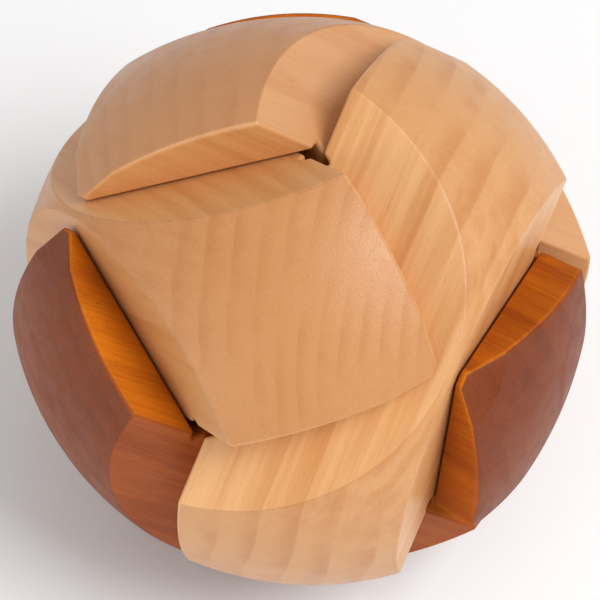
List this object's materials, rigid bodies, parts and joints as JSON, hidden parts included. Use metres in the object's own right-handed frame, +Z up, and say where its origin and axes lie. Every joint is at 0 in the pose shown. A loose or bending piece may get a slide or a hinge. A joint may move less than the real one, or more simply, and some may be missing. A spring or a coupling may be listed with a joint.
{
  "type": "wooden burr puzzle",
  "caption": "Wooden burr puzzle of interlocking notched bars turned to a ball, light wood above and dark wood below, that opens along its square axes.",
  "frame": {"origin": "centre of the ball, where the square puzzle axes cross", "axes": "+Z up, evenly between the poles of the light bars; -Y towards the viewer; the left light bar's pole leans towards -X"},
  "size_m": [0.0686, 0.067, 0.0676],
  "materials": {
    "light_wood": "satin oiled, fine pale grain",
    "dark_wood": "satin, red-brown stain over fine grain"
  },
  "bodies": {
    "light_bar_left": {"light_bar_left": "light_wood"},
    "light_bar_front": {"light_bar_front": "light_wood"},
    "light_bar_back": {"light_bar_back": "light_wood"},
    "dark_bar_right": {"dark_bar_right": "dark_wood"},
    "dark_bar_back": {"dark_bar_back": "dark_wood"},
    "dark_bar_front": {"dark_bar_front": "dark_wood"}
  },
  "joints": [
    {"name": "ball_open", "type": "slide", "parent": "dark_bar_front", "child": "light_bar_back", "axis": [0.4082, 0.7071, 0.5774], "range_m": [-0.002, 0.03]},
    {"name": "left_light_slide", "type": "slide", "parent": "dark_bar_front", "child": "light_bar_left", "axis": [-0.2887, 0.5, 0.8165], "range_m": [-0.00145, 0.02125]},
    {"name": "front_light_slide", "type": "slide", "parent": "dark_bar_front", "child": "light_bar_front", "axis": [0.5774, 0, 0.8165], "range_m": [-0.00145, 0.02125]},
    {"name": "right_dark_slide", "type": "slide", "parent": "dark_bar_front", "child": "dark_bar_right", "axis": [0.866, 0.5, 0], "range_m": [-0.00145, 0.02125]},
    {"name": "back_dark_slide", "type": "slide", "parent": "dark_bar_front", "child": "dark_bar_back", "axis": [0, 1, 0], "range_m": [-0.00145, 0.02125]}
  ],
  "couplings": [
    {"joint": "left_light_slide", "follows": "ball_open", "ratio": 0.70711},
    {"joint": "front_light_slide", "follows": "ball_open", "ratio": 0.70711},
    {"joint": "right_dark_slide", "follows": "ball_open", "ratio": 0.70711},
    {"joint": "back_dark_slide", "follows": "ball_open", "ratio": 0.70711}
  ]
}
